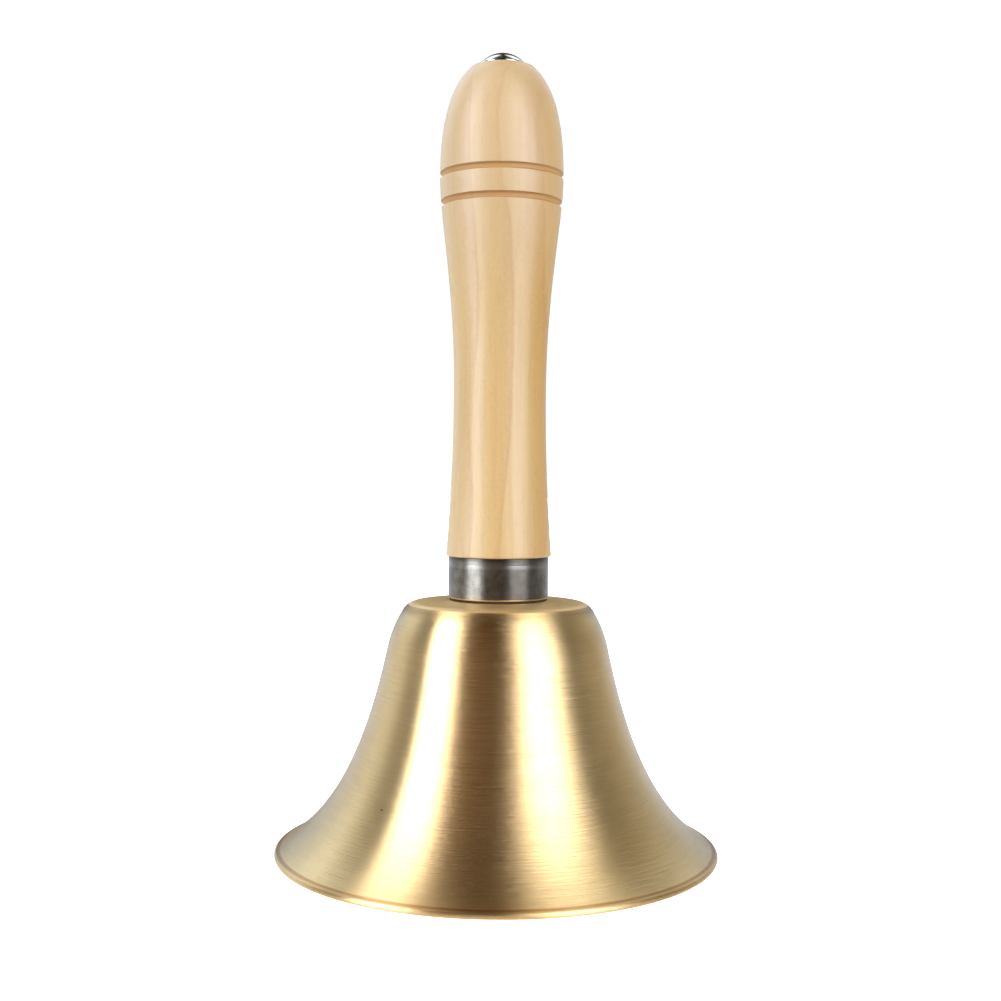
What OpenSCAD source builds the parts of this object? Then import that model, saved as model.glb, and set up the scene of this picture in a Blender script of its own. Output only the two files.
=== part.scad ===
// Handbell: a spun brass bell on a turned wooden handle, with a free-swinging clapper inside.
// Frame: origin at the centre of the mouth plane, +Z up the axis to the domed bolt head.
// All sizes in millimetres.

/* [Bell] */
// Outer diameter of the mouth, over the rolled bead
mouth_d = 80; // [78:0.5:82]
// Height of the flat seat on the crown above the mouth plane
crown_z = 45.75; // [45:0.05:47]
// Wall thickness of the spun sheet
wall_t = 1.2; // [1:0.1:1.4]
// Radius of the rounded shoulder between crown and wall
shoulder_round = 3; // [2.5:0.5:4]
// Radius of the slow curve that eases the shoulder into the wall
ease_r = 21.2; // [18:0.1:24]
// Lean of the wall from vertical where that curve ends, in degrees
waist_lean = 12.1; // [11:0.1:14]
// Lean of the wall from vertical where it reaches the bead, in degrees
lip_lean = 61.4; // [58:0.1:64]
// Radius of the rolled bead round the mouth
bead_r = 0.6; // [0.55:0.05:0.7]

/* [Ferrule and seat] */
// Outer diameter of the steel ferrule
ferrule_d = 18.1; // [17.6:0.1:18.4]
// Wall thickness of the ferrule
ferrule_t = 1.2; // [1:0.1:1.5]
// Thickness of the ferrule's floor
ferrule_floor = 1.5; // [1:0.1:2]
// Thickness of the leather washer under the ferrule
seat_t = 0.3; // [0.2:0.05:0.5]

/* [Handle] */
// Height of the wood's lower shoulder, which is also the top of the ferrule
wood_z = 53.7; // [53:0.1:54.5]
// Diameter of the wood just above the ferrule
foot_d = 19.06; // [18.8:0.02:19.4]
// Diameter of the waist
waist_d = 16.66; // [16:0.02:17]
// Height of the waist
waist_z = 83; // [80:0.5:85]
// Diameter of the pommel
pommel_d = 22.3; // [21:0.1:23]
// Height of the widest part of the pommel
pommel_z = 122; // [121:0.5:123]
// Height of the wood's top face
wood_top_z = 141.65; // [141:0.05:142.5]
// Heights of the two turned grooves
groove_z = [117.1, 122.1];
// Width of each groove at the surface
groove_w = 1.2; // [0.8:0.1:1.4]
// Depth of each groove
groove_depth = 0.42; // [0.3:0.02:0.6]

/* [Tie bolt] */
// Nominal diameter of the bolt that ties handle and bell together
bolt_d = 5; // [4.9:0.1:5.1]
// Diameter of its domed head
bolt_head_d = 8.5; // [8.4:0.1:9]
// Height of the head's straight edge
bolt_head_edge = 0.5; // [0.4:0.1:0.8]
// Height of the dome above that edge
bolt_dome_h = 2.05; // [1.8:0.05:2.3]
// Width across flats of the square neck under the head
neck_af = 5.4; // [5.2:0.1:5.6]
// Length of the square neck
neck_len = 3.5; // [3:0.1:4]

/* [Clapper hanger] */
// Thickness of the strap the yoke is bent from
strap_t = 1.2; // [1:0.1:1.4]
// Width of the strap
strap_w = 8; // [7:0.5:9]
// Clear width between the yoke's two ears
yoke_gap = 11.2; // [11:0.1:12]
// Height of the pin the clapper swings on
pin_z = 29.4; // [29:0.1:29.8]
// Diameter of that pin
pin_d = 2.5; // [2.4:0.1:2.6]

/* [Clapper] */
// Diameter of the clapper rod
rod_d = 3; // [2.8:0.1:3.2]
// Outer diameter of the eye at the rod's top
eye_d = 6; // [5.6:0.1:6.2]
// Diameter of the ball
ball_d = 14; // [13:0.5:14.5]
// Height of the ball's centre at rest
ball_z = 9; // [8.6:0.1:10]

/* [Hidden] */
$fn = 96;

// standard hardware sizes for 5 mm and 3 mm threads
m5_nut_af = 8;
m5_nut_h = 4;
m5_thin_nut_h = 2.7;
m5_washer_d = 15;
m5_washer_t = 1.2;
m5_spring_washer_d = 9.2;
m5_spring_washer_t = 1.2;
m3_nut_af = 5.5;
m3_nut_h = 2.4;

bolt_r = bolt_d / 2;
clear_r = bolt_r + 0.1;        // clearance hole for the bolt
swivel_r = bolt_r + 0.06;      // the yoke's hole turns freely on the bolt
pin_r = pin_d / 2;
eye_hole_r = pin_r + 0.05;     // the eye swings freely on the pin
end_play = 0.1;                // gap each side of a piece that turns
over = 0.02;                   // how far a cut runs past the face it opens

// crown and shoulder
seat_r = ferrule_d / 2 + 0.3;
crown_slope = atan(0.06);      // fall of the crown outside the seat
crown_arc_r = 14.65;           // radius of the circle the shoulder's arc centres lie on
crown_edge = crown_arc_r + shoulder_round * sin(crown_slope);
shoulder_c = [crown_arc_r,
              crown_z - (crown_edge - seat_r) * tan(crown_slope)
                      - shoulder_round * cos(crown_slope)];
ease_lean = 32.3;              // lean at which the shoulder passes into the slow curve
ease_c = shoulder_c - (ease_r - shoulder_round) * [cos(ease_lean), sin(ease_lean)];

// wall: one cubic curve from the shoulder to the bead
bead_c = [mouth_d / 2 - bead_r, 0.5];
bead_join = 92;                // angle round the bead at which the wall meets it
land_half = sqrt(bead_r * bead_r - bead_c[1] * bead_c[1]);
function polar(c, r, a) = c + r * [cos(a), sin(a)];
function down(lean) = [sin(lean), -cos(lean)];
wall_p0 = polar(ease_c, ease_r, waist_lean);
wall_p3 = polar(bead_c, bead_r, bead_join);
wall = [wall_p0, wall_p0 + 11.8 * down(waist_lean), wall_p3 - 13.85 * down(lip_lean), wall_p3];
wall_steps = 28;
arc_steps = 8;
ease_steps = 4;

// handle: three cubic curves, foot to waist, waist to pommel, pommel to top
foot_round = 0.3;
foot_lean = 4.6;
top_lean = 41.3;               // angle of the wood below horizontal where it meets its top face
top_r = 5.62;
foot_p = [foot_d / 2, wood_z + foot_round];
waist_p = [waist_d / 2, waist_z];
pommel_p = [pommel_d / 2, pommel_z];
top_p = [top_r, wood_top_z];
lower = [foot_p, foot_p + 10.36 * [-sin(foot_lean), cos(foot_lean)], waist_p - [0, 9.6], waist_p];
middle = [waist_p, waist_p + [0, 19.85], pommel_p - [0, 8.1], pommel_p];
upper = [pommel_p, pommel_p + [0, 12.65], top_p + 3.62 * [cos(top_lean), -sin(top_lean)], top_p];

// stack of parts on the bolt, from the crown's underside down
crown_under = crown_z - wall_t;
washer_under = crown_under - m5_washer_t;
lock_under = washer_under - m5_spring_washer_t;
clamp_under = lock_under - m5_nut_h;
web_top = clamp_under - end_play;
web_under = web_top - strap_t;
keeper_top = web_under - end_play;
keeper_under = keeper_top - m5_thin_nut_h;
bolt_end = keeper_under - 0.8;

ferrule_z = crown_z + seat_t;
tenon_z = ferrule_z + ferrule_floor;
tenon_r = ferrule_d / 2 - ferrule_t;

ear_in = yoke_gap / 2;
ear_out = ear_in + strap_t;
bend_r = 0.8;                  // inside radius of the strap's bends
eye_half = rod_d / 2;          // half width of the eye along the pin
ball_r = ball_d / 2;
ball_flat = 6.2;               // height of the ball's flat above its centre
rod_depth = 3;                 // how far past the ball's centre the rod reaches

brass = [0.80, 0.65, 0.38];
wood = [0.87, 0.75, 0.58];
gunmetal = [0.42, 0.42, 0.43];
chrome = [0.80, 0.80, 0.82];
steel = [0.66, 0.67, 0.68];
leather = [0.23, 0.14, 0.09];

// ---- curves ----

function curve(p, t) = pow(1 - t, 3) * p[0] + 3 * pow(1 - t, 2) * t * p[1]
                     + 3 * (1 - t) * t * t * p[2] + pow(t, 3) * p[3];
function curve_way(p, t) = pow(1 - t, 2) * (p[1] - p[0]) + 2 * (1 - t) * t * (p[2] - p[1])
                         + t * t * (p[3] - p[2]);
function left_of(v) = [-v[1], v[0]] / norm(v);
// points on a curve, moved sideways by off, from step first to step n
function along(p, n, off = 0, first = 0) =
    [for (i = [first : n]) curve(p, i / n) + off * left_of(curve_way(p, i / n))];
function arc(c, r, a0, a1, n) = [for (i = [0 : n]) polar(c, r, a0 + (a1 - a0) * i / n)];
function reversed(p) = [for (i = [len(p) - 1 : -1 : 0]) p[i]];
function tail(p) = [for (i = [1 : len(p) - 1]) p[i]];

// ---- shared shapes ----

// hexagonal nut standing on z0, both faces turned to a 30 degree chamfer, bored r
module hex_nut(af, h, r, z0) {
    corner = af / sqrt(3);
    fall = (corner - af / 2) * tan(30);
    difference() {
        intersection() {
            translate([0, 0, z0]) cylinder(r = corner, h = h, $fn = 6);
            rotate_extrude() translate([0, z0]) polygon([
                [0, 0], [af / 2, 0], [corner, fall], [corner, h - fall], [af / 2, h], [0, h]]);
        }
        translate([0, 0, z0 - over]) cylinder(r = r, h = h + 2 * over);
    }
}

// plain ring on the axis
module ring(r_out, r_in, z0, h) {
    rotate_extrude() translate([r_in, z0]) square([r_out - r_in, h]);
}

// cylinder lying along X between x0 and x1 at the pin's height
module pin_cylinder(r, x0, x1) {
    translate([x0, 0, pin_z]) rotate([0, 90, 0]) cylinder(r = r, h = x1 - x0);
}

// ---- root body ----

// spun bell: flat seat, coned crown, round shoulder, flared wall, rolled bead with a flat land
module bell_shell() {
    color(brass) rotate_extrude() polygon(concat(
        [[clear_r, crown_z], [seat_r, crown_z]],
        arc(shoulder_c, shoulder_round, 90 - crown_slope, ease_lean, arc_steps),
        tail(arc(ease_c, ease_r, ease_lean, waist_lean, ease_steps)),
        along(wall, wall_steps, 0, 1),
        arc(bead_c, bead_r, bead_join - 10, asin(-bead_c[1] / bead_r), arc_steps),
        [[bead_c[0] - land_half, 0]],
        reversed(along(wall, wall_steps, -wall_t, 1)),
        arc(ease_c, ease_r - wall_t, waist_lean, ease_lean, ease_steps),
        tail(arc(shoulder_c, shoulder_round - wall_t, ease_lean, 90 - crown_slope, arc_steps)),
        [[seat_r, crown_under], [clear_r, crown_under]]));
}

// thin leather washer that beds the ferrule on the crown
module seat_washer() {
    color(leather) ring(ferrule_d / 2 - 0.15, clear_r, crown_z, seat_t);
}

// turned steel cup: floor on the seat, chamfered foot, one fine turned line near the top
module ferrule() {
    r = ferrule_d / 2;
    foot = 0.35;
    lip = 0.12;
    line_z = wood_z - 1.2;
    line_h = 0.24;
    line_depth = 0.12;
    color(gunmetal) rotate_extrude() polygon([
        [clear_r, ferrule_z], [r - foot, ferrule_z], [r, ferrule_z + foot],
        [r, line_z - line_h / 2], [r - line_depth, line_z], [r, line_z + line_h / 2],
        [r, wood_z - lip], [r - lip, wood_z], [tenon_r, wood_z],
        [tenon_r, tenon_z], [clear_r, tenon_z]]);
}

// turned handle: tenon, waist, pommel with two grooves, through bore and square socket
module handle() {
    chamfer = 0.4;
    socket_depth = neck_len + 0.3;
    color(wood) difference() {
        rotate_extrude() polygon(concat(
            [[clear_r, tenon_z], [tenon_r - chamfer, tenon_z], [tenon_r, tenon_z + chamfer],
             [tenon_r, wood_z]],
            arc(foot_p - [foot_round, 0], foot_round, -90, 0, 3),
            along(lower, 14, 0, 1),
            along(middle, 18, 0, 1),
            along(upper, 16, 0, 1),
            [[clear_r, wood_top_z]]));
        for (z = groove_z) groove(z);
        translate([-neck_af / 2, -neck_af / 2, wood_top_z - socket_depth])
            cube([neck_af, neck_af, socket_depth + over]);
    }
}

// one V groove with a narrow flat bottom, turned into the pommel at height z
module groove(z) {
    reach = pommel_d / 2 + 1;
    floor_r = pommel_d / 2 - groove_depth - pow(z - pommel_z, 2) * 0.01;
    floor_w = 0.3;
    spread = (groove_w - floor_w) / 2 / groove_depth * (reach - floor_r);
    rotate_extrude() polygon([
        [floor_r, z - floor_w / 2], [reach, z - floor_w / 2 - spread],
        [reach, z + floor_w / 2 + spread], [floor_r, z + floor_w / 2]]);
}

// bolt with a low domed head, square neck and a shank right through handle and crown
module tie_bolt() {
    r = bolt_head_d / 2;
    edge_z = wood_top_z + bolt_head_edge;
    dome_r = (r * r + bolt_dome_h * bolt_dome_h) / (2 * bolt_dome_h);
    tip = 0.5;
    color(chrome) union() {
        rotate_extrude() polygon(concat(
            [[0, wood_top_z - 1], [bolt_r, wood_top_z - 1], [bolt_r, wood_top_z],
             [r - 0.15, wood_top_z], [r, wood_top_z + 0.15]],
            arc([0, edge_z + bolt_dome_h - dome_r], dome_r, asin((dome_r - bolt_dome_h) / dome_r),
                90, 12)));
        translate([-neck_af / 2, -neck_af / 2, wood_top_z - neck_len])
            cube([neck_af, neck_af, neck_len]);
        rotate_extrude() polygon([
            [0, bolt_end], [bolt_r - tip, bolt_end], [bolt_r, bolt_end + tip],
            [bolt_r, wood_top_z - 1], [0, wood_top_z - 1]]);
    }
}

// flat washer under the crown
module crown_washer() {
    color(steel) ring(m5_washer_d / 2, clear_r, washer_under, m5_washer_t);
}

// spring washer, drawn flat, with its slanting split
module lock_washer() {
    gap = 0.8;
    slant = 20;
    color(steel) difference() {
        ring(m5_spring_washer_d / 2, clear_r, lock_under, m5_spring_washer_t);
        translate([m5_spring_washer_d / 2 - 1, 0, lock_under + m5_spring_washer_t / 2])
            rotate([slant, 0, 0]) cube([6, gap, 6], center = true);
    }
}

// nut that clamps crown, ferrule and handle together
module clamp_nut() {
    color(steel) hex_nut(m5_nut_af, m5_nut_h, bolt_r, clamp_under);
}

// thin nut that keeps the yoke on the bolt's end
module keeper_nut() {
    color(steel) hex_nut(m5_nut_af, m5_thin_nut_h, bolt_r, keeper_under);
}

// ---- yoke body ----

// strap bent to an inverted U: web on the bolt, two rounded ears that hold the pin
module yoke() {
    corner_r = bend_r + strap_t;
    corner_x = ear_in - bend_r;
    corner_z = web_under - bend_r;
    color(steel) difference() {
        union() {
            translate([-corner_x, -strap_w / 2, web_under]) cube([2 * corner_x, strap_w, strap_t]);
            for (side = [0, 180]) rotate([0, 0, side]) {
                intersection() {
                    translate([corner_x, strap_w / 2, corner_z]) rotate([90, 0, 0]) difference() {
                        cylinder(r = corner_r, h = strap_w);
                        translate([0, 0, -1]) cylinder(r = bend_r, h = strap_w + 2);
                    }
                    translate([corner_x, -strap_w, corner_z])
                        cube([corner_r + 1, 2 * strap_w, corner_r + 1]);
                }
                translate([ear_in, -strap_w / 2, pin_z]) cube([strap_t, strap_w, corner_z - pin_z]);
                pin_cylinder(strap_w / 2, ear_in, ear_out);
            }
        }
        translate([0, 0, web_under - 1]) cylinder(r = swivel_r, h = strap_t + 2);
        pin_cylinder(pin_r, -ear_out - 1, ear_out + 1);
    }
}

// rivet through both ears, with a low round head each side
module pivot_pin() {
    head_r = 2.2;
    head_h = 0.9;
    color(steel) translate([-ear_out - head_h, 0, pin_z]) rotate([0, 90, 0])
        rotate_extrude() polygon([
            [0, 0], [head_r - 0.7, 0], [head_r, 0.5], [head_r, head_h], [pin_r, head_h],
            [pin_r, head_h + 2 * ear_out], [head_r, head_h + 2 * ear_out],
            [head_r, head_h + 2 * ear_out + 0.4], [head_r - 0.7, 2 * (head_h + ear_out)],
            [0, 2 * (head_h + ear_out)]]);
}

// two short tubes that keep the eye in the middle of the pin
module pin_spacers() {
    wall = 0.9;
    color(steel) for (side = [0, 180]) rotate([0, 0, side]) difference() {
        pin_cylinder(pin_r + wall, eye_half + end_play, ear_in);
        pin_cylinder(pin_r, 0, ear_in + 1);
    }
}

// ---- clapper body ----

// rod with a flat-sided eye on the pin, screwed into the ball
module clapper_rod() {
    foot = ball_z - rod_depth;
    tip = 0.4;
    color(steel) difference() {
        union() {
            pin_cylinder(eye_d / 2, -eye_half, eye_half);
            rotate_extrude() polygon([
                [0, foot], [rod_d / 2 - tip, foot], [rod_d / 2, foot + tip],
                [rod_d / 2, pin_z - pin_r - 0.4], [0, pin_z - pin_r - 0.4]]);
        }
        pin_cylinder(eye_hole_r, -rod_d, rod_d);
    }
}

// brass ball, flat on top and bored for the rod
module clapper_ball() {
    foot = ball_z - rod_depth;
    color(brass) difference() {
        translate([0, 0, ball_z]) sphere(r = ball_r);
        translate([-ball_r, -ball_r, ball_z + ball_flat]) cube(ball_d);
        translate([0, 0, foot - 0.4]) cylinder(r = rod_d / 2, h = ball_d);
    }
}

// nut that locks the ball on the rod
module clapper_lock_nut() {
    color(steel) hex_nut(m3_nut_af, m3_nut_h, rod_d / 2, ball_z + ball_flat);
}

bell_shell();
seat_washer();
ferrule();
handle();
tie_bolt();
crown_washer();
lock_washer();
clamp_nut();
keeper_nut();
yoke();
pivot_pin();
pin_spacers();
clapper_rod();
clapper_ball();
clapper_lock_nut();
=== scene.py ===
"""Looks of the handbell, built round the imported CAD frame.

Outlines and patterns are written in millimetres. Meshes and bump depths are in metres.
"""
import math

import bmesh
import bpy
from mathutils import Matrix, Vector


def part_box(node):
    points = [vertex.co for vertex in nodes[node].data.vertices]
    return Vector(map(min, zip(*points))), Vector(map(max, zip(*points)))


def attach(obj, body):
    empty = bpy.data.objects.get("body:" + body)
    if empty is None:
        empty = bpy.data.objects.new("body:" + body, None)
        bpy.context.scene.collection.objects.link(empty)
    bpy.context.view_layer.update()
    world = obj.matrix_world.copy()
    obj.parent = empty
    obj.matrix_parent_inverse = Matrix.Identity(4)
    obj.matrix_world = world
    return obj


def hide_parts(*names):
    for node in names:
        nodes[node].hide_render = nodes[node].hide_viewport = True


MM = 0.001
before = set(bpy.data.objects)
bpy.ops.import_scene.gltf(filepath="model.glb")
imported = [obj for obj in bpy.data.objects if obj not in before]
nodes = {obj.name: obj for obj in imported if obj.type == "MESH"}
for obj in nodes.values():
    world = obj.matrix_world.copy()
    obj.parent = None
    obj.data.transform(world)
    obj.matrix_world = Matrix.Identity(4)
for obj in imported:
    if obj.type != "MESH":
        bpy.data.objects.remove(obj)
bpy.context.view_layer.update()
scene = bpy.context.scene


# ---------------------------------------------------------------- sizes taken from the CAD, mm

mouth_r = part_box("bell_shell")[1].x / MM
crown_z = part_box("bell_shell")[1].z / MM
ferrule_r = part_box("ferrule")[1].x / MM
ferrule_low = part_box("ferrule")[0].z / MM
wood_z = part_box("ferrule")[1].z / MM
tenon_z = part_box("handle")[0].z / MM
wood_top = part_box("handle")[1].z / MM
head_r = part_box("tie_bolt")[1].x / MM
bolt_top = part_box("tie_bolt")[1].z / MM
bolt_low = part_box("tie_bolt")[0].z / MM
HOLE_R = 2.6  # the hole for the bolt, in every piece that it passes through


# ---------------------------------------------------------------- outlines

def bezier(p, steps):
    """Points of a cubic curve through the four control points p."""
    made = []
    for i in range(steps + 1):
        t = i / steps
        w = ((1 - t) ** 3, 3 * (1 - t) ** 2 * t, 3 * (1 - t) * t * t, t ** 3)
        made.append(tuple(sum(w[k] * p[k][a] for k in range(4)) for a in (0, 1)))
    return made


def arc(centre, radius, start, end, steps):
    """Points of a circular arc, angles in degrees."""
    made = []
    for i in range(steps + 1):
        a = math.radians(start + (end - start) * i / steps)
        made.append((centre[0] + radius * math.cos(a), centre[1] + radius * math.sin(a)))
    return made


def inset(line, distance):
    """The line moved sideways by distance, to the right of its direction of travel."""
    made = []
    for i, p in enumerate(line):
        before = line[max(i - 1, 0)]
        after = line[min(i + 1, len(line) - 1)]
        dx = after[0] - before[0]
        dz = after[1] - before[1]
        length = math.hypot(dx, dz)
        made.append((p[0] + distance * dz / length, p[1] - distance * dx / length))
    return made


def lean(degrees, length):
    """A step outwards and down, leaning that many degrees from straight down."""
    a = math.radians(degrees)
    return length * math.sin(a), -length * math.cos(a)


def plus(p, q):
    return p[0] + q[0], p[1] + q[1]


# ---------------------------------------------------------------- meshes

def smooth_object(name, mesh, sharp):
    """An object with smooth faces, and edges kept sharp above that many degrees."""
    for polygon in mesh.polygons:
        polygon.use_smooth = True
    mesh.set_sharp_from_angle(angle=math.radians(sharp))
    made = bpy.data.objects.new(name, mesh)
    scene.collection.objects.link(made)
    return made


def lathe(name, rows, segments, sharp, closed=False):
    """Turns rows of (radius, height) in mm round Z. Either may be a function of the angle.

    An open outline starts and ends on the axis, and its end rows are single points.
    """
    def at(value, angle):
        return value(angle) if callable(value) else value

    verts = []
    rings = []
    last = len(rows) - 1
    for i, (radius, height) in enumerate(rows):
        if not closed and i in (0, last):
            rings.append([len(verts)])
            verts.append((0.0, 0.0, at(height, 0.0)))
            continue
        rings.append(list(range(len(verts), len(verts) + segments)))
        for k in range(segments):
            angle = 2 * math.pi * k / segments
            r = at(radius, angle)
            verts.append((r * math.cos(angle), r * math.sin(angle), at(height, angle)))
    faces = []
    pairs = list(zip(rings, rings[1:])) + ([(rings[-1], rings[0])] if closed else [])
    for low, high in pairs:
        for k in range(segments):
            n = (k + 1) % segments
            if len(low) == 1:
                faces.append((low[0], high[n], high[k]))
            elif len(high) == 1:
                faces.append((low[k], low[n], high[0]))
            else:
                faces.append((low[k], low[n], high[n], high[k]))
    mesh = bpy.data.meshes.new(name)
    mesh.from_pydata([tuple(c * MM for c in v) for v in verts], [], faces)
    mesh.validate()
    mesh.update()
    return smooth_object(name, mesh, sharp)


def outwards(obj):
    """Turns all faces to point out of the closed mesh."""
    bm = bmesh.new()
    bm.from_mesh(obj.data)
    bmesh.ops.recalc_face_normals(bm, faces=bm.faces)
    bm.to_mesh(obj.data)
    bm.free()


def stands_for(obj, body, material, slot, *replaced):
    """Dresses a new piece, puts it on its body and hides the CAD node it stands for."""
    outwards(obj)
    obj.data.materials.append(material)
    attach(obj, body)
    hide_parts(*replaced)


# ---------------------------------------------------------------- shader nodes

class Net:
    """Adds linked nodes to a node tree."""

    def __init__(self, tree):
        self.tree = tree

    def __call__(self, kind, ins=None, **props):
        node = self.tree.nodes.new("ShaderNode" + kind)
        for key, value in props.items():
            setattr(node, key, value)
        for key, value in (ins or {}).items():
            self.join(node.inputs[key], value)
        return node

    def join(self, socket, value):
        """Links the value to the socket if it comes from a node, or sets it there."""
        if isinstance(value, bpy.types.NodeSocket):
            self.tree.links.new(value, socket)
        else:
            socket.default_value = value

    def math(self, operation, a, b=0.0, c=0.0):
        return self("Math", {0: a, 1: b, 2: c}, operation=operation).outputs[0]

    def scaled(self, vector, factors):
        return self("VectorMath", {0: vector, 1: factors}, operation="MULTIPLY").outputs[0]

    def xyz(self, vector):
        return self("SeparateXYZ", {0: vector}).outputs

    def vector(self, x, y, z):
        return self("CombineXYZ", {0: x, 1: y, 2: z}).outputs[0]

    def length(self, vector):
        return self("VectorMath", {0: vector}, operation="LENGTH").outputs[1]

    def from_axis(self, place):
        """Distance from the Z axis."""
        return self.length(self.scaled(place, (1, 1, 0)))

    def noise(self, vector, scale=1.0, detail=3.0, roughness=0.55, distortion=0.0):
        return self("TexNoise", {"Vector": vector, "Scale": scale, "Detail": detail,
                                 "Roughness": roughness, "Distortion": distortion}).outputs[0]

    def fit(self, value, low, high, to_low=0.0, to_high=1.0, smooth=False):
        """The value moved from low..high to to_low..to_high, and held at its ends."""
        kind = "SMOOTHSTEP" if smooth else "LINEAR"
        return self("MapRange", {0: value, 1: low, 2: high, 3: to_low, 4: to_high},
                    interpolation_type=kind).outputs[0]

    def mix(self, factor, a, b, blend="MIX"):
        """Mixes two colours, each an RGB triple or a socket."""
        node = self("Mix", {0: factor}, data_type="RGBA", blend_type=blend)
        for socket, value in ((node.inputs[6], a), (node.inputs[7], b)):
            self.join(socket, (*value, 1.0) if isinstance(value, tuple) else value)
        return node.outputs[2]

    def times(self, a, b):
        return self.mix(1.0, a, b, "MULTIPLY")

    def added(self, a, b):
        return self.mix(1.0, a, b, "ADD")

    def ramp(self, value, stops):
        """stops is a list of (position, grey or colour)."""
        node = self("ValToRGB", {0: value})
        elements = node.color_ramp.elements
        while len(elements) < len(stops):
            elements.new(0.5)
        for element, (position, colour) in zip(elements, stops):
            element.position = position
            rgb = colour if isinstance(colour, tuple) else (colour,) * 3
            element.color = (*rgb, 1.0)
        return node.outputs[0]

    def bump(self, height, strength, distance, under=None):
        ins = {"Height": height, "Strength": strength, "Distance": distance}
        if under is not None:
            ins["Normal"] = under
        return self("Bump", ins).outputs[0]


def new_material(name):
    """(material, net, shader node, position in millimetres)."""
    material = bpy.data.materials.new(name)
    material.use_nodes = True
    tree = material.node_tree
    shader = tree.nodes["Principled BSDF"]
    net = Net(tree)
    place = net("TexCoord").outputs["Object"]
    return material, net, shader, net.scaled(place, (1 / MM, 1 / MM, 1 / MM))


def surface(net, shader, colour, roughness, normal):
    """Links the three things that vary over every surface."""
    net.join(shader.inputs["Base Color"], colour)
    net.join(shader.inputs["Roughness"], roughness)
    net.join(shader.inputs["Normal"], normal)


def dimmed(colour, share):
    return tuple(c * share for c in colour)


# ---------------------------------------------------------------- turned and brushed metal

def turned_coordinate(net, mm, along, across):
    """Coordinates stretched round the axis: fine across the turning marks, long along them."""
    x, y, z = net.xyz(mm)
    down = net.math("SUBTRACT", z, net.from_axis(mm))
    return net.vector(net.math("MULTIPLY", x, along), net.math("MULTIPLY", y, along),
                      net.math("MULTIPLY", down, across))


def stained(net, mm, base, tint, amount):
    """Cloudy dark stains a few millimetres across."""
    stain = net.noise(net.scaled(mm, (0.35, 0.35, 0.25)), detail=5, roughness=0.7)
    return net.mix(net.fit(stain, 0.42, 0.62, 0, amount), base, dimmed(tint, 0.35))


def specked(net, mm, base, grain, amount):
    """Tiny dark specks: about one cell in four, each cell some 6 mm wide, has one."""
    cell = net("TexVoronoi", {"Vector": mm, "Scale": 0.16, "Randomness": 1.0}).outputs
    size = net.fit(net.xyz(cell["Color"])[0], 0.75, 1.0, 0.0, 0.04)
    ragged = net.math("MULTIPLY", cell["Distance"], net.fit(grain, 0.3, 0.7, 0.7, 1.4))
    spot = net.math("LESS_THAN", ragged, size)
    return net.mix(net.math("MULTIPLY", spot, amount), base, (0.10, 0.07, 0.045))


def crease_shade_and_grime(net, mm, base, radius, height):
    """A dark line at that height, outside that radius: painted shade in the crease, where polish
    and grime also stay.
    """
    away = net.math("ABSOLUTE", net.math("SUBTRACT", net.xyz(mm)[2], height))
    line = net.math("MULTIPLY", net.fit(away, 0.05, 0.2, 1, 0),
                    net.fit(net.from_axis(mm), radius - 0.3, radius, 0, 1))
    return net.mix(net.math("MULTIPLY", line, 0.7), base, (0.52, 0.25, 0.06))


def dark_side(net, mm, base, tint, amount):
    """The +X side made darker, less so at its far edge."""
    side = net.xyz(mm)[0]
    dark = net.math("MULTIPLY", net.fit(side, -1.0, 2.0, 0, amount, smooth=True),
                    net.fit(side, 5.0, 8.5, 1.0, 0.45, smooth=True))
    return net.mix(dark, base, dimmed(tint, 0.3))


def sleeve_ends_painted_light(net, mm, base, rough, tint, low, high):
    """A sleeve's top edge with painted shadow under the wood, a faint painted highlight band below
    it, and its bright foot with a painted reflection of the brass.
    """
    height = net.xyz(mm)[2]
    # painted shadow: darker towards the top edge, under the wood
    painted_top_shadow = net.fit(height, high - 0.9, high - 0.3, 0, 0.6)
    base = net.mix(painted_top_shadow, base, dimmed(tint, 0.3))
    # painted highlight: a faint light band 1.5 mm below the top
    from_band = net.math("ABSOLUTE", net.math("SUBTRACT", height, high - 1.5))
    base = net.mix(net.fit(from_band, 0.1, 0.6, 0.13, 0), base, (0.72, 0.67, 0.58))
    # painted reflection of the brass crown in the rounded foot, which is also made a little
    # smoother
    foot_painted_reflection = net.fit(height, low + 0.3, low + 0.45, 1, 0)
    base = net.mix(net.math("MULTIPLY", foot_painted_reflection, 0.85), base, (0.86, 0.74, 0.56))
    return base, net.math("MULTIPLY_ADD", foot_painted_reflection, -0.12, rough)


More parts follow.
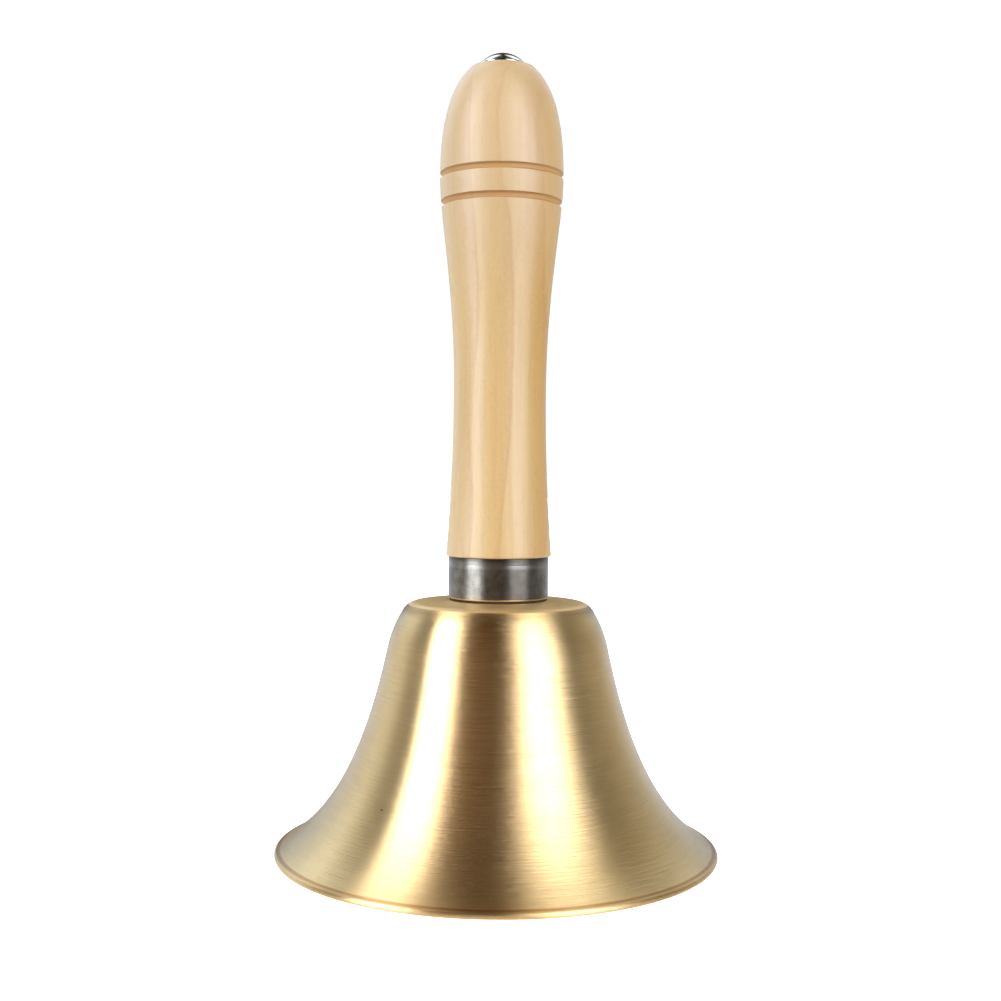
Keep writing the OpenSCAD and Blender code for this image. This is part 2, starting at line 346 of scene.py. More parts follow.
def turned_metal(name, colour, tint, roughness, anisotropy, mark=0.3, tarnish=0.12, specks=0.0,
                 swing=0.05, blotch=0.0, crease=None, plus_x_darkening=0.0, metal=1.0, coat=0.0,
                 ends=None, crown=None):
    """Metal brushed or turned round Z: fine rings, soft tarnish and a few specks.

    tint is the colour of its tarnish, mark the strength of its rings, swing how far its roughness
    varies, and blotch how dark its stains are. crease is the (radius, height) of a dark line of
    painted shade, where polish and grime also stay. plus_x_darkening is how much darker the +X side
    is made. coat is thin lacquer. ends are the lowest and highest heights of a sleeve, given a
    painted shadow at its top, a painted highlight band and a painted reflection at its foot. crown
    is the height of a flat crown, towards which the metal gets rougher.
    """
    material, net, shader, mm = new_material(name)
    fine = net.noise(turned_coordinate(net, mm, 0.30, 4.0), detail=3, roughness=0.65)
    hair = net.noise(turned_coordinate(net, mm, 0.10, 1.7), detail=4, roughness=0.6)
    grain = net.noise(mm, scale=2.6, detail=2)
    cloud = net.noise(net.scaled(mm, (0.05, 0.05, 0.08)), detail=5, roughness=0.6, distortion=0.4)
    smudge = net.noise(net.scaled(mm, (0.22, 0.22, 0.3)), detail=6, roughness=0.65)
    base = net.mix(net.fit(cloud, 0.35, 0.7, 0, tarnish * 2), colour, tint)
    for pattern, depth in ((hair, tarnish), (fine, tarnish), (grain, tarnish * 0.6)):
        base = net.mix(net.fit(pattern, 0.35, 0.65, depth, 0), base, dimmed(colour, 0.6))
    if blotch:
        base = stained(net, mm, base, tint, blotch)
    if specks:
        base = specked(net, mm, base, grain, specks)
    if crease:
        base = crease_shade_and_grime(net, mm, base, *crease)
    if plus_x_darkening:
        base = dark_side(net, mm, base, tint, plus_x_darkening)
    rough = net.math("ADD", net.fit(fine, 0.25, 0.75, -swing, swing),
                     net.fit(smudge, 0.35, 0.7, roughness - swing * 0.4, roughness + swing * 0.6))
    if crown:
        rough = net.math("ADD", rough, net.fit(net.xyz(mm)[2], crown - 2.6, crown - 0.9, 0, 0.26))
    if ends:
        base, rough = sleeve_ends_painted_light(net, mm, base, rough, tint, *ends)
    rings = net.bump(fine, mark, 0.00016)
    surface(net, shader, base, rough, net.bump(hair, mark, 0.0003, rings))
    shader.inputs["Metallic"].default_value = metal
    shader.inputs["Coat Weight"].default_value = coat
    shader.inputs["Coat Roughness"].default_value = 0.4
    shader.inputs["Anisotropic"].default_value = anisotropy
    shader.inputs["Anisotropic Rotation"].default_value = 0.25
    round_axis = net("Tangent", direction_type="RADIAL", axis="Z").outputs[0]
    net.join(shader.inputs["Tangent"], round_axis)
    return material


# ---------------------------------------------------------------- wood, plating and leather

WOOD = (0.67, 0.492, 0.236)
WOOD_WARM = (0.662, 0.461, 0.198)
WOOD_PALE = (0.69, 0.525, 0.276)
RING_WIDTH = 5.6


def growth_rings(net, mm):
    """0 to 1 across each growth ring, round a pith well outside the blank.

    So far out, the rings show as long upright lines.
    """
    x, y, z = net.xyz(mm)
    sway = net.noise(net.scaled(mm, (0.05, 0.05, 0.012)), detail=2)
    jitter = net.noise(net.scaled(mm, (0.35, 0.35, 0.05)), detail=3)
    reach = net.length(net.vector(net.math("ADD", x, 62.0), net.math("ADD", y, -30.0),
                                  net.math("MULTIPLY", z, 0.015)))
    reach = net.math("ADD", reach, net.fit(sway, 0.3, 0.7, -2.6, 2.6))
    reach = net.math("ADD", reach, net.fit(jitter, 0.3, 0.7, -0.3, 0.3))
    phase = net.math("FRACT", net.math("DIVIDE", reach, RING_WIDTH))
    return net.ramp(phase, [(0.0, 0.0), (0.55, 0.12), (0.86, 0.55), (0.95, 1.0), (1.0, 0.0)])


def pale_wood(name):
    """Close-grained pale wood under satin lacquer, grain along Z. 'cut' marks the turned cuts, bare
    of lacquer and darkened with painted shade.
    """
    material, net, shader, mm = new_material(name)
    x, _, z = net.xyz(mm)
    ring = growth_rings(net, mm)
    broad = net.noise(net.scaled(mm, (0.16, 0.16, 0.014)), detail=3, roughness=0.5)
    streak = net.noise(net.scaled(mm, (1.0, 1.0, 0.035)), detail=4, roughness=0.55)
    fibre = net.noise(net.scaled(mm, (5, 5, 0.5)), detail=3, roughness=0.6)
    mottle = net.noise(mm, scale=1.3, detail=3, roughness=0.6)
    fleck = net("TexVoronoi", {"Vector": net.scaled(mm, (1.4, 1.4, 0.45)), "Scale": 1.0}).outputs[0]
    base = net.ramp(broad, [(0.30, WOOD_WARM), (0.50, WOOD), (0.72, WOOD_PALE)])
    base = net.mix(net.math("MULTIPLY", ring, 0.42), base, (0.54, 0.31, 0.13))
    base = net.mix(net.fit(streak, 0.46, 0.70, 0, 0.2), base, (0.49, 0.32, 0.15))
    base = net.mix(net.fit(fibre, 0.5, 0.8, 0, 0.22), base, (0.42, 0.27, 0.14))
    base = net.mix(net.fit(mottle, 0.42, 0.7, 0, 0.3), base, WOOD_PALE)
    base = net.mix(net.fit(fleck, 0.14, 0.02, 0, 0.30), base, (0.34, 0.22, 0.115))
    # painted shade: the +X side is made darker and warmer
    painted_side_shade = net.times(base, (0.86, 0.775, 0.60))
    base = net.mix(net.fit(x, -7, 7, 0, 1), base, painted_side_shade)
    # painted light: the pommel, which faces up into more light and sheen, is made a little paler
    # than the grip
    base = net.mix(net.fit(z, 100, 120, 0, 0.35), base, (0.65, 0.48, 0.29))
    cut = net("Attribute", attribute_name="cut").outputs["Fac"]
    # the cuts: bare wood, darkened with painted shade in the grooves
    base = net.mix(cut, base, (0.50, 0.28, 0.09))
    rough = net.math("ADD", net.fit(streak, 0.3, 0.7, 0.34, 0.42), net.math("MULTIPLY", cut, 0.3))
    fibres = net.bump(fibre, 0.12, 0.0002)
    surface(net, shader, base, rough, net.bump(streak, 0.10, 0.0004, fibres))
    shader.inputs["Coat Weight"].default_value = 0.3
    shader.inputs["Coat Roughness"].default_value = 0.45
    shader.inputs["Subsurface Weight"].default_value = 0.05
    shader.inputs["Subsurface Radius"].default_value = (0.9, 0.45, 0.2)
    shader.inputs["Subsurface Scale"].default_value = 0.0012
    return material


def plated(name, colour, roughness, scratch=0.1):
    """Smooth plated or drawn steel with small scratches and patchy dulling."""
    material, net, shader, mm = new_material(name)
    patch = net.noise(mm, scale=0.5, detail=5, roughness=0.6)
    hair = net.noise(net.scaled(mm, (5, 1.2, 3.1)), detail=5, roughness=0.7, distortion=1.5)
    base = net.mix(net.fit(patch, 0.4, 0.7, 0, 0.5), colour, dimmed(colour, 0.72))
    rough = net.math("ADD", net.fit(patch, 0.3, 0.7, roughness * 0.85, roughness * 1.25),
                     net.fit(hair, 0.45, 0.8, 0, scratch))
    surface(net, shader, base, rough, net.bump(hair, scratch * 0.5, 0.0001))
    shader.inputs["Metallic"].default_value = 1.0
    return material


def dark_leather(name):
    """Dark brown leather with fine pores; its darkness also serves as painted shadow."""
    material, net, shader, mm = new_material(name)
    pores = net("TexVoronoi", {"Vector": mm, "Scale": 3.0}).outputs[0]
    patch = net.noise(mm, scale=0.8, detail=4)
    base = net.mix(patch, (0.055, 0.028, 0.014), (0.10, 0.05, 0.025))
    surface(net, shader, base, net.fit(patch, 0.3, 0.7, 0.62, 0.82), net.bump(pores, 0.4, 0.0001))
    return material


BRASS = (0.89, 0.66, 0.325)
BRASS_TARNISH = (0.85, 0.58, 0.25)
# the crease line where the wall meets the bead is darkened with painted shade, as well as polish
# and grime
BEAD_CREASE = (38.5, 1.2)  # radius and height of the line where the wall meets the bead
bell_brass = turned_metal("bell_brass", BRASS, BRASS_TARNISH, roughness=0.38, mark=0.24,
                          anisotropy=1.0, specks=0.8, coat=0.24, crease=BEAD_CREASE, crown=crown_z)
crown_brass = turned_metal("crown_brass", BRASS, BRASS_TARNISH, roughness=0.56, mark=0.24,
                           anisotropy=0.2, coat=0.3)
ball_brass = turned_metal("ball_brass", (0.78, 0.56, 0.27), (0.66, 0.44, 0.19), roughness=0.38,
                          anisotropy=0.6, tarnish=0.2, specks=0.5)
ferrule_steel = turned_metal("ferrule_steel", (0.335, 0.31, 0.24), (0.25, 0.20, 0.14),
                             roughness=0.31, anisotropy=0.35, mark=0.06, tarnish=0.16, swing=0.04,
                             blotch=0.5, plus_x_darkening=0.75, metal=0.88, ends=(ferrule_low, wood_z))
handle_wood = pale_wood("handle_wood")
bolt_chrome = plated("bolt_chrome", (0.66, 0.66, 0.585), 0.07, 0.04)
zinc_steel = plated("zinc_steel", (0.55, 0.56, 0.57), 0.28)
yoke_steel = plated("yoke_steel", (0.44, 0.44, 0.45), 0.36)
rod_steel = plated("rod_steel", (0.48, 0.48, 0.49), 0.3)
seat_leather = dark_leather("seat_leather")


# ---------------------------------------------------------------- bell

WALL_T = 1.2
SEAT_R = 9.35  # the crown is flat inside this radius and falls a little outside it
CROWN_FALL = 0.06
CROWN_MATT = 0.85  # depth below the crown's top of the matt finish
SHOULDER_R = 14.65
SHOULDER_ROUND = 3.0
EASE_ROUND = 21.2  # the wide curve between the shoulder and the wall
EASE_LEAN = 32.3
WAIST_LEAN = 12.1
WAIST_REACH = 11.8  # reaches are the lengths of a curve's handles
LIP_LEAN = 61.4
LIP_REACH = 13.85
BEAD_R = 0.6
BEAD_Z = 0.5
BEAD_START = 92  # angle on the bead at which the wall runs into it

crown_slope = math.degrees(math.atan(CROWN_FALL))
crown_edge = SHOULDER_R + SHOULDER_ROUND * math.sin(math.radians(crown_slope))
shoulder = (SHOULDER_R, crown_z - (crown_edge - SEAT_R) * CROWN_FALL
            - SHOULDER_ROUND * math.cos(math.radians(crown_slope)))
ease = arc(shoulder, SHOULDER_ROUND - EASE_ROUND, EASE_LEAN, EASE_LEAN, 1)[0]
bead = (mouth_r - BEAD_R, BEAD_Z)
wall_top = arc(ease, EASE_ROUND, WAIST_LEAN, WAIST_LEAN, 1)[0]
wall_end = arc(bead, BEAD_R, BEAD_START, BEAD_START, 1)[0]
wall = bezier([wall_top, plus(wall_top, lean(WAIST_LEAN, WAIST_REACH)),
               plus(wall_end, lean(LIP_LEAN, -LIP_REACH)), wall_end], 120)
land = math.sqrt(BEAD_R ** 2 - BEAD_Z ** 2)
outside = ([(HOLE_R, crown_z), (SEAT_R, crown_z)]
           + arc(shoulder, SHOULDER_ROUND, 90 - crown_slope, EASE_LEAN, 20)
           + arc(ease, EASE_ROUND, EASE_LEAN, WAIST_LEAN, 16)[1:] + wall[1:]
           + arc(bead, BEAD_R, 86, -math.degrees(math.asin(BEAD_Z / BEAD_R)), 20))
inside = (inset(wall, WALL_T)[:0:-1]
          + arc(ease, EASE_ROUND - WALL_T, WAIST_LEAN, EASE_LEAN, 12)
          + arc(shoulder, SHOULDER_ROUND - WALL_T, EASE_LEAN, 90 - crown_slope, 14)[1:]
          + [(SEAT_R, crown_z - WALL_T), (HOLE_R, crown_z - WALL_T)])
bell = lathe("bell", outside + [(bead[0] - land, 0.0)] + inside, segments=320, sharp=24,
             closed=True)
stands_for(bell, "bell", bell_brass, "bell_brass", "bell_shell")
# the crown is left matt, without the wall's brushing
bell.data.materials.append(crown_brass)
for polygon in bell.data.polygons:
    polygon.material_index = int(polygon.center.z / MM > crown_z - CROWN_MATT)


# ---------------------------------------------------------------- handle

TENON_R = 7.85
TENON_CHAMFER = 0.4
FOOT_ROUND = 0.3
FOOT_LEAN = 4.6
FOOT_REACH = 10.36
WAIST_DOWN = 9.6  # reach of the curve below and above the waist, and so with the pommel
WAIST_UP = 19.85
POMMEL_DOWN = 8.1
POMMEL_UP = 12.65
TOP_LEAN = 41.3
TOP_REACH = 3.62
TOP_ROUND = 0.2
GROOVES = (117.1, 122.1)
GROOVE_W = 1.2
GROOVE_DEPTH = 0.42
GROOVE_SIDE = 0.72  # share of the half width that slopes
# CUT_FULL is the depth at which a cut gets its bare-wood colour and painted shade in full
CUT_FULL = 0.12  # depth at which a cut is bare of lacquer
CUT_STRENGTH = 0.85
SKIN_R = 9  # the bore and tenon lie inside this radius, and the grooves outside it

foot = (9.53, wood_z + FOOT_ROUND)
waist = (8.33, 83.0)
pommel = (11.15, 122.0)
top = (5.62, wood_top)
grip = bezier([foot, plus(foot, lean(FOOT_LEAN, -FOOT_REACH)), (waist[0], waist[1] - WAIST_DOWN),
               waist], 60)
swell = bezier([waist, (waist[0], waist[1] + WAIST_UP), (pommel[0], pommel[1] - POMMEL_DOWN),
                pommel], 260)
dome = bezier([pommel, (pommel[0], pommel[1] + POMMEL_UP),
               plus(top, lean(90 - TOP_LEAN, TOP_REACH)), top], 80)
wood_line = grip + swell[1:] + dome[1:]


def groove_depth(z):
    """Depth of the turned grooves at height z: sloping sides, narrow round floor."""
    for centre in GROOVES:
        off = abs(z - centre) / (GROOVE_W / 2)
        if off < 1:
            side = min(1.0, (1 - off) / GROOVE_SIDE)
            return GROOVE_DEPTH * math.sin(side * math.pi / 2) ** 0.9
    return 0.0


def bare_cut_and_shade(point):
    """How much of the bare cut's colour and painted shade a point of the handle gets: only in the
    cuts on its outside.
    """
    if point.xy.length / MM <= SKIN_R:
        return 0.0
    return min(1.0, groove_depth(point.z / MM) / CUT_FULL) * CUT_STRENGTH


# points four times as close near the grooves
fine_line = []
for (r0, z0), (r1, z1) in zip(wood_line, wood_line[1:]):
    near = any(abs((z0 + z1) / 2 - centre) < GROOVE_W for centre in GROOVES)
    parts = 4 if near else 1
    fine_line += [(r0 + (r1 - r0) * k / parts, z0 + (z1 - z0) * k / parts) for k in range(parts)]
handle_rows = ([(HOLE_R, tenon_z), (TENON_R - TENON_CHAMFER, tenon_z),
                (TENON_R, tenon_z + TENON_CHAMFER), (TENON_R, wood_z)]
               + arc((foot[0] - FOOT_ROUND, foot[1]), FOOT_ROUND, -90, 0, 8)[:-1]
               + [(r - groove_depth(z), z) for r, z in fine_line]
               + arc((top[0] - TOP_ROUND, wood_top - TOP_ROUND), TOP_ROUND, 90 - TOP_LEAN, 90, 6)
               + [(HOLE_R, wood_top)])
handle = lathe("handle_turned", handle_rows, segments=224, sharp=40, closed=True)
cut_colour_and_shade = handle.data.attributes.new("cut", "FLOAT", "POINT")
cut_colour_and_shade.data.foreach_set("value", [bare_cut_and_shade(v.co) for v in handle.data.vertices])
stands_for(handle, "bell", handle_wood, "handle_wood", "handle")


# ---------------------------------------------------------------- ferrule and seat

BAND_DROP = 1.2  # a fine turned line this far below the wood
BAND_DEPTH = 0.02
BAND_W = 0.24
FERRULE_FOOT = 0.45
FERRULE_TOP = 0.12

band_z = wood_z - BAND_DROP
ferrule_rows = ([(HOLE_R, ferrule_low)]
                + arc((ferrule_r - FERRULE_FOOT, ferrule_low + FERRULE_FOOT), FERRULE_FOOT,
                      -90, -8, 9)
                + [(ferrule_r, ferrule_low + 0.55), (ferrule_r, band_z - 0.16)]
                + [(ferrule_r - BAND_DEPTH * math.sin(math.pi * k / 6) ** 2,
                    band_z - BAND_W / 2 + BAND_W * k / 6) for k in range(7)]
                + [(ferrule_r, band_z + 0.16), (ferrule_r, wood_z - 0.16)]
                + arc((ferrule_r - FERRULE_TOP, wood_z - FERRULE_TOP), FERRULE_TOP, 0, 90, 5)
                + [(TENON_R, wood_z), (TENON_R, tenon_z), (HOLE_R, tenon_z)])
ferrule = lathe("ferrule_cup", ferrule_rows, segments=224, sharp=50, closed=True)
stands_for(ferrule, "bell", ferrule_steel, "ferrule_steel", "ferrule")

# the seat washer is dark leather, and its dark colour also paints the contact shadow under the
# ferrule
seat_half = (ferrule_low - crown_z) / 2
seat_edge = (ferrule_r - 0.15 - seat_half, crown_z + seat_half)
seat_rows = ([(HOLE_R, crown_z)] + arc(seat_edge, seat_half, -90, 90, 8) + [(HOLE_R, ferrule_low)])
seat = lathe("seat_washer_pressed", seat_rows, segments=160, sharp=60, closed=True)
stands_for(seat, "bell", seat_leather, "seat_leather", "seat_washer")


# ---------------------------------------------------------------- bolt, washers and nuts

BOLT_R = 2.5
BOLT_PITCH = 0.8
BOLT_TIP = 0.5  # height of the chamfer at the bolt's end
THREAD_DEPTH = 0.42
THREAD_CREST = BOLT_R - 0.02
NECK_W = 5.38
NECK_CORNER_R = 3.45
NECK_DEPTH = 3.5
HEAD_EDGE = 0.5  # height of the head's upright edge
HEAD_ROUND = 0.38


def square(width, corner):
    """Radius of a square with rounded corners at an angle."""
    def radius(angle):
        c = abs(math.cos(angle))
        s = abs(math.sin(angle))
        return min(width / 2 / max(c, s), corner)
    return radius


def hexagon(flats):
    """Radius of a hexagon with a corner on +X at an angle."""
    def radius(angle):
        return flats / 2 / math.cos((angle % (math.pi / 3)) - math.pi / 6)
    return radius


def thread_turn(z, angle, pitch):
    """Place across one turn of a thread, -0.5 to 0.5."""
    return (z / pitch - angle / (2 * math.pi)) % 1.0 - 0.5


def thread_rows(low, high, crest, pitch, depth, steps=10):
    """Rows of a helical thread between two heights, fading out at both ends."""
    count = int((high - low) / pitch * steps)
    made = []
    for i in range(count + 1):
        z = low + (high - low) * i / count
        fade = min(1.0, (z - low) / 0.5, (high - z) / 0.8)

        def radius(angle, z=z, fade=fade):
            tooth = min(1.0, abs(thread_turn(z, angle, pitch)) * 2 * 1.35)
            return crest - depth * fade * tooth
        made.append((radius, z))
    return made


edge_z = wood_top + HEAD_EDGE
dome_h = bolt_top - edge_z
dome_r = (head_r ** 2 + dome_h ** 2) / (2 * dome_h)
dome_start = math.degrees(math.asin((dome_r - dome_h) / dome_r))
neck = square(NECK_W, NECK_CORNER_R)
bolt_rows = ([(0, bolt_low), (BOLT_R - 0.55, bolt_low), (BOLT_R - 0.45, bolt_low + 0.06),
              (THREAD_CREST, bolt_low + BOLT_TIP)]
             + thread_rows(bolt_low + BOLT_TIP, crown_z - 1.0, THREAD_CREST, BOLT_PITCH,
                           THREAD_DEPTH)[1:]
             + [(BOLT_R, crown_z), (BOLT_R, wood_top - NECK_DEPTH - 0.1),
                (neck, wood_top - NECK_DEPTH), (neck, wood_top - 0.02), (head_r - 0.42, wood_top)]
             + arc((head_r - 0.4, wood_top + HEAD_ROUND), HEAD_ROUND, -86, -4, 8)
             + [(head_r, wood_top + 0.4), (head_r, edge_z - 0.05)]
             + arc((0, bolt_top - dome_r), dome_r, dome_start + 0.6, 90, 26)[:-1]
             + [(0, bolt_top)])
bolt = lathe("tie_bolt_domed", bolt_rows, segments=144, sharp=40)
stands_for(bolt, "bell", bolt_chrome, "bolt_chrome", "tie_bolt")


def heights(node):
    """Lowest and highest point of a CAD node, mm."""
    return [corner.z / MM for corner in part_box(node)]


def washer(name, node, body, hole, edge=0.15):
    """Flat washer with rolled edges, in the place of a CAD ring on the axis."""
    low, high = heights(node)
    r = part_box(node)[1].x / MM
    rows = []
    for centre, start in (((r - edge, low + edge), -90), ((r - edge, high - edge), 0),
                          ((hole + edge, high - edge), 90), ((hole + edge, low + edge), 180)):
        rows += arc(centre, edge, start, start + 90, 4)
    made = lathe(name, rows, segments=128, sharp=50, closed=True)
    stands_for(made, body, zinc_steel, "zinc_steel", node)


NUT_LEAD = 0.35  # depth of the countersink at both ends of a nut's bore
NUT_FACE = 0.965  # radius of a nut's flat face, as a share of half its width across flats
NUT_CHAMFER = 28  # slope of its turned corners, in degrees


def nut(name, node, body, flats, bore, pitch):
    """Hexagon nut with turned corners and a thread in its bore, in the place of a CAD nut."""
    low, high = heights(node)
    corner = hexagon(flats)
    face_r = flats / 2 * NUT_FACE
    slope = math.tan(math.radians(NUT_CHAMFER))

    def fall(angle):
        return (corner(angle) - face_r) * slope

    def bore_radius(z):
        return lambda angle: bore + 0.03 + 0.1 * abs(thread_turn(z, angle, pitch))

    threaded = high - low - 2 * NUT_LEAD
    count = int(threaded / pitch * 8)
    bore_heights = [high - NUT_LEAD - threaded * i / count for i in range(count + 1)]
    rows = ([(face_r, low), (corner, lambda a: low + fall(a)), (corner, lambda a: high - fall(a)),
             (face_r, high), (bore + NUT_LEAD, high)]
            + [(bore_radius(z), z) for z in bore_heights] + [(bore + NUT_LEAD, low)])
    made = lathe(name, rows, segments=96, sharp=28, closed=True)
    stands_for(made, body, zinc_steel, "zinc_steel", node)


washer("crown_washer_flat", "crown_washer", "bell", HOLE_R)
nut("clamp_nut_hex", "clamp_nut", "bell", flats=8.0, bore=BOLT_R, pitch=BOLT_PITCH)
nut("keeper_nut_hex", "keeper_nut", "bell", flats=8.0, bore=BOLT_R, pitch=BOLT_PITCH)
nut("clapper_lock_nut_hex", "clapper_lock_nut", "clapper", flats=5.5, bore=1.5, pitch=0.5)


# ---------------------------------------------------------------- clapper ball

ROD_R = 1.5
ROD_DEPTH = 3.4  # how far below the ball's middle the rod's blind hole goes

ball_low, ball_high = heights("clapper_ball")
ball_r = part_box("clapper_ball")[1].y / MM
ball_z = ball_low + ball_r
flat_r = math.sqrt(ball_r ** 2 - (ball_high - ball_z) ** 2)
ball_rows = [(0, ball_low)] + arc((0, ball_z), ball_r, -88.5, 88, 80)[:-1]
ball_rows = [p for p in ball_rows if p[1] < ball_high - 0.12]
ball_rows += [(flat_r - 0.1, ball_high - 0.03), (flat_r - 0.25, ball_high),
              (ROD_R + 0.25, ball_high), (ROD_R, ball_high - 0.2), (ROD_R, ball_z - ROD_DEPTH),
              (0, ball_z - ROD_DEPTH)]
ball = lathe("clapper_ball_turned", ball_rows, segments=144, sharp=40)
stands_for(ball, "clapper", ball_brass, "ball_brass", "clapper_ball")


# ---------------------------------------------------------------- pieces that keep the CAD shape

SAME_POINT = 1e-7  # m
FLAT_ANGLE = 0.8  # degrees: facets that meet more flatly than this are one face
EDGE_ANGLE = 35  # degrees: edges sharper than this are rounded over


def eased(name, node, body, material, slot, width):
    """Copy of a CAD piece with its sharp edges rounded over by width mm."""
    source = nodes[node]
    bm = bmesh.new()
    bm.from_mesh(source.data)
    bm.transform(source.matrix_world)
    bmesh.ops.remove_doubles(bm, verts=bm.verts, dist=SAME_POINT)
    bmesh.ops.dissolve_limit(bm, angle_limit=math.radians(FLAT_ANGLE), verts=bm.verts,
                             edges=bm.edges)
    sharp_angle = math.radians(EDGE_ANGLE)
    corners = [e for e in bm.edges if e.is_manifold and e.calc_face_angle() > sharp_angle]
    bmesh.ops.bevel(bm, geom=corners, offset=width * MM, segments=3, profile=0.5, affect="EDGES",
                    clamp_overlap=True)
    mesh = bpy.data.meshes.new(name)
    bm.to_mesh(mesh)
    bm.free()
    stands_for(smooth_object(name, mesh, sharp=38), body, material, slot, node)


eased("lock_washer_split", "lock_washer", "bell", zinc_steel, "zinc_steel", 0.12)
eased("yoke_bent", "yoke", "hanger", yoke_steel, "yoke_steel", 0.16)
eased("pivot_pin_riveted", "pivot_pin", "hanger", yoke_steel, "yoke_steel", 0.12)
eased("pin_spacers_cut", "pin_spacers", "hanger", yoke_steel, "yoke_steel", 0.1)
eased("clapper_rod_eye", "clapper_rod", "clapper", rod_steel, "rod_steel", 0.15)


# ---------------------------------------------------------------- floor

def plain_floor():
    """A pale table top, whose near edge is 85 mm in front of the bell's axis."""
    front = -0.085
    far = 3.0
    mesh = bpy.data.meshes.new("floor")
    mesh.from_pydata([(-far, front, 0), (far, front, 0), (far, far, 0), (-far, far, 0)], [],
                     [(0, 1, 2, 3)])
    floor = bpy.data.objects.new("floor", mesh)
    scene.collection.objects.link(floor)
    material, net, shader = new_material("floor_white")[:3]
    shader.inputs["Base Color"].default_value = (0.88, 0.87, 0.85, 1)
    shader.inputs["Roughness"].default_value = 0.8
    shader.inputs["Emission Color"].default_value = (1, 1, 1, 1)
    # bright to the camera, like the backdrop, but only a little light on the bell
    seen = net("LightPath").outputs["Is Camera Ray"]
    net.join(shader.inputs["Emission Strength"], net.fit(seen, 0, 1, 0.18, 0.9))
    # seen from below the table is left out, so the inside of the bell shows
    below = net("NewGeometry").outputs["Backfacing"]
    clear = net("BsdfTransparent").outputs[0]
    shown = net("MixShader", {0: below, 1: shader.outputs[0], 2: clear}).outputs[0]
    net.join(net.tree.nodes["Material Output"].inputs["Surface"], shown)
    mesh.materials.append(material)


# ---------------------------------------------------------------- light

PEAK = 8.0  # a ramp holds colours up to 1, and the background's strength makes up the rest
COOL = (0.84, 1.04, 1.42)
PALE = (0.96, 1.09, 1.36)
SKY = (0.97, 1.08, 1.36)
WHITE = (1, 0.98, 0.88)
WARM = (1, 0.82, 0.44)
BROWN = (1, 0.54, 0.18)
DARK = (0, 0, 0)

# (degrees round from straight behind the camera, brightness, colour), -X negative
WALLS = [
    (-180, 0.40, WARM), (-171, 0.45, WARM), (-163, 0.88, COOL), (-128, 0.90, PALE),
    (-115, 0.64, PALE), (-104, 0.09, WARM), (-84, 0.05, WARM), (-38, 0.18, BROWN),
    (-10, 0.255, BROWN), (8, 0.285, BROWN), (66, 0.05, WARM), (84, 0.03, WARM),
    (98, 0.045, WARM), (112, 0.165, WARM), (128, 0.37, WHITE), (144, 0.69, PALE),
    (163, 0.90, COOL), (171, 0.42, WARM), (180, 0.40, WARM),
]
BOXES = [
    (-180, 0, DARK), (-82.4, 0, DARK), (-76.4, 5.2, SKY), (-48.5, 5.0, SKY), (-41.5, 0, DARK),
    (14.5, 0, DARK), (24.5, 4.3, SKY), (35, 5.0, SKY), (54, 4.9, SKY), (63, 2.5, SKY),
    (70, 0, DARK), (180, 0, DARK),
]
# (degrees above the horizon, brightness)
WALL_RISE = [(-90, 0.2), (-12, 0.4), (0, 0.77), (8, 0.81), (20, 1.18), (32, 1.85), (54, 1.8),
             (72, 1.5), (90, 1.1)]
BOX_RISE = [(-90, 0), (-14, 0.2), (-4, 1), (36, 1), (50, 0.36), (66, 0.1), (90, 0.05)]
LEAN_LEFT = 0.038  # how far edges move round by height, in shares of a full turn
LEAN_RIGHT = 0.055
LEAN_FROM = 0.4  # the height at which they stand where the lists above say
LAMP = (0.25, 0.52, 0.82)  # direction of the right lamp, and the left one mirrors it
LAMP_CORE = 0.13
LAMP_EDGE = 0.24
LAMP_LEVEL = 0.17
SWEEP = 1.05


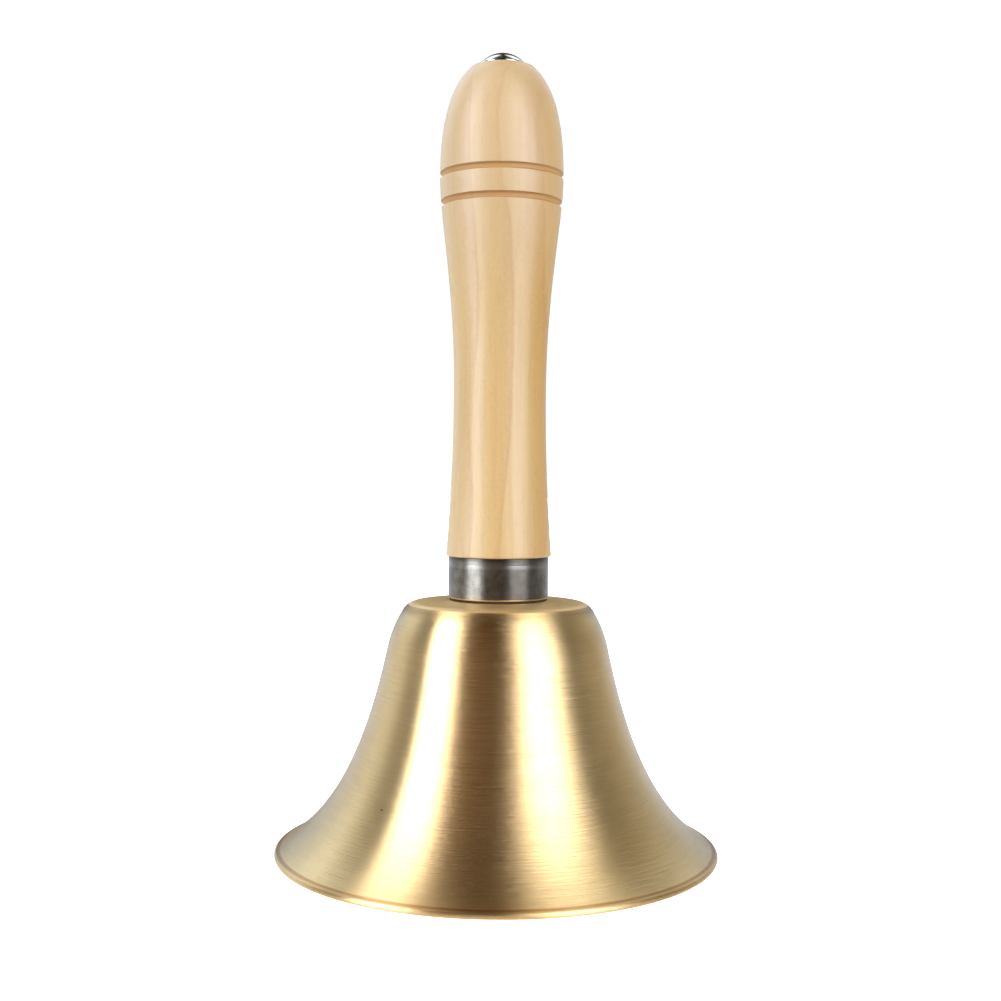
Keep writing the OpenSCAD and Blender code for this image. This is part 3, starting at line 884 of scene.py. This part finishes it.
def studio_light():
    """Two tall soft boxes in front, left and right, a pale sweep behind, dark gaps between."""
    world = bpy.data.worlds.new("studio")
    scene.world = world
    world.use_nodes = True
    tree = world.node_tree
    tree.nodes.clear()
    net = Net(tree)
    x, y, z = net.xyz(net("TexCoord").outputs["Generated"])
    turn = net.math("ARCTAN2", x, net.math("MULTIPLY", y, -1))
    share = net.fit(turn, -math.pi, math.pi)
    height = net.math("MULTIPLY", net.math("ARCSINE", z), 2 / math.pi)

    def round_about(place, values):
        """Light by direction round the axis, where place is the share of a full turn."""
        return net.ramp(place, [((degrees + 180) / 360, dimmed(tone, level / PEAK))
                                for degrees, level, tone in values])

    def upwards(values):
        """Light by height above the horizon."""
        return net.ramp(net.math("MULTIPLY_ADD", height, 0.5, 0.5),
                        [((degrees + 90) / 180, level) for degrees, level in values])

    # walls and boxes lean: by height, their edges move round, more on the right than the left
    risen = net.math("SUBTRACT", net.math("ABSOLUTE", z), LEAN_FROM)
    lean_by = net.fit(x, -0.1, 0.1, LEAN_LEFT, LEAN_RIGHT)
    leaning = net.math("MULTIPLY_ADD", risen, lean_by, share)
    # both are dimmed high up, near the plane through the camera and the axis
    aside = net.math("ABSOLUTE", x)
    above = net.math("SUBTRACT", 1.0, z)
    gap = net.fit(net.math("MULTIPLY_ADD", above, 0.35, aside), 0.16, 0.27)
    middle = net.fit(net.math("MULTIPLY_ADD", above, 0.6, aside), 0.3, 0.7, 0.14, 1.0)
    walls = net.times(round_about(leaning, WALLS), net.times(upwards(WALL_RISE), middle))
    boxes = net.times(round_about(leaning, BOXES), net.times(upwards(BOX_RISE), gap))
    # a small lamp each side, high up and behind, which the domed bolt head catches
    mirrored = net.vector(aside, y, z)
    to_lamp = net("VectorMath", {0: mirrored, 1: LAMP}, operation="DISTANCE").outputs[1]
    lamps = net.fit(to_lamp, LAMP_CORE, LAMP_EDGE, LAMP_LEVEL, 0.0)
    studio = net.added(net.added(walls, boxes), lamps)
    # the camera sees a plain white sweep instead
    seen = net("LightPath").outputs["Is Camera Ray"]
    light = net("Background", {"Color": studio, "Strength": PEAK}).outputs[0]
    sweep = net("Background", {"Color": (1, 1, 1, 1), "Strength": SWEEP}).outputs[0]
    mixed = net("MixShader", {0: seen, 1: light, 2: sweep}).outputs[0]
    net("OutputWorld", {"Surface": mixed})
    world.cycles.sampling_method = "MANUAL"
    world.cycles.sample_map_resolution = 1024


# ---------------------------------------------------------------- camera

CAMERA_PLACE = (0.00027, -0.2541, 0.0698)  # m
CAMERA_DOWN = 1.36  # degrees
CAMERA_ROLL = 0.5  # degrees
CAMERA_LENS = 50.37  # mm, on a 36 mm sensor


def front_camera():
    """Camera in front of the bell, a little below half its height, looking slightly down."""
    data = bpy.data.cameras.new("camera")
    data.lens = CAMERA_LENS
    data.sensor_width = 36.0
    data.clip_start = 0.01
    data.clip_end = 50
    camera = bpy.data.objects.new("camera", data)
    scene.collection.objects.link(camera)
    tip = Matrix.Rotation(math.radians(90 - CAMERA_DOWN), 4, "X")
    roll = Matrix.Rotation(math.radians(CAMERA_ROLL), 4, "Z")
    camera.matrix_world = Matrix.Translation(Vector(CAMERA_PLACE)) @ tip @ roll
    scene.camera = camera


plain_floor()
studio_light()
front_camera()
scene.view_settings.view_transform = "Standard"
scene.view_settings.look = "None"
scene.view_settings.gamma = 0.8
